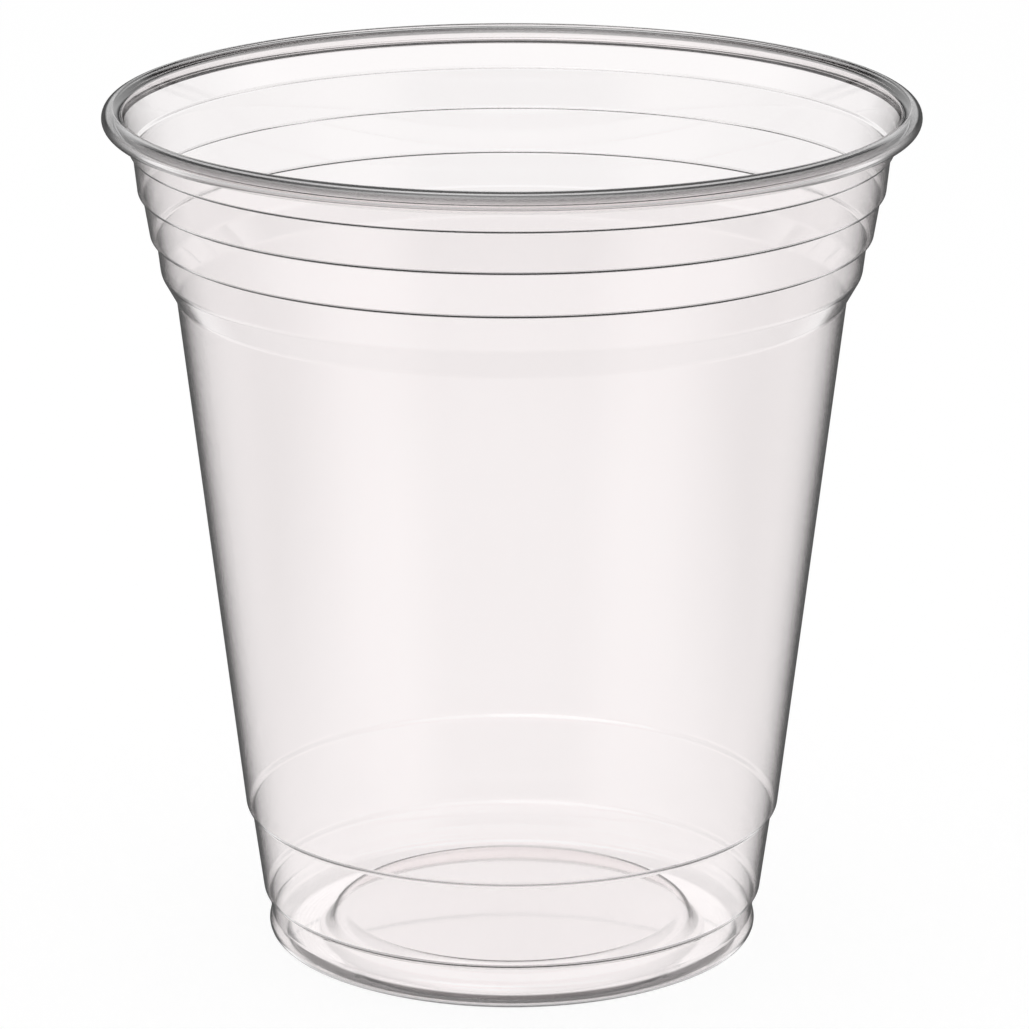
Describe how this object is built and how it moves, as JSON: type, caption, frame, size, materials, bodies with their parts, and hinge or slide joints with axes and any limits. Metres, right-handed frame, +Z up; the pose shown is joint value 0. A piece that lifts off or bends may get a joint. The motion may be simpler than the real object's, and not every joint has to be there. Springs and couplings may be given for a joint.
{
  "type": "disposable cup",
  "caption": "Clear plastic cold-drink cup: thin tapered wall, raised floor on a standing ring, ledges near foot and rim so that cups stack apart, and a rolled rim that takes a lid.",
  "frame": {"origin": "centre of the standing ring, on the table", "axes": "+Z up along the cup's axis, out of its mouth; +X and +Y are alike, as the cup is round"},
  "size_m": [0.098, 0.098, 0.1047],
  "materials": {
    "clear_pet": "clear drawn PET sheet, glossy on both faces"
  },
  "bodies": {
    "root": {"cup": "clear_pet"}
  },
  "joints": []
}
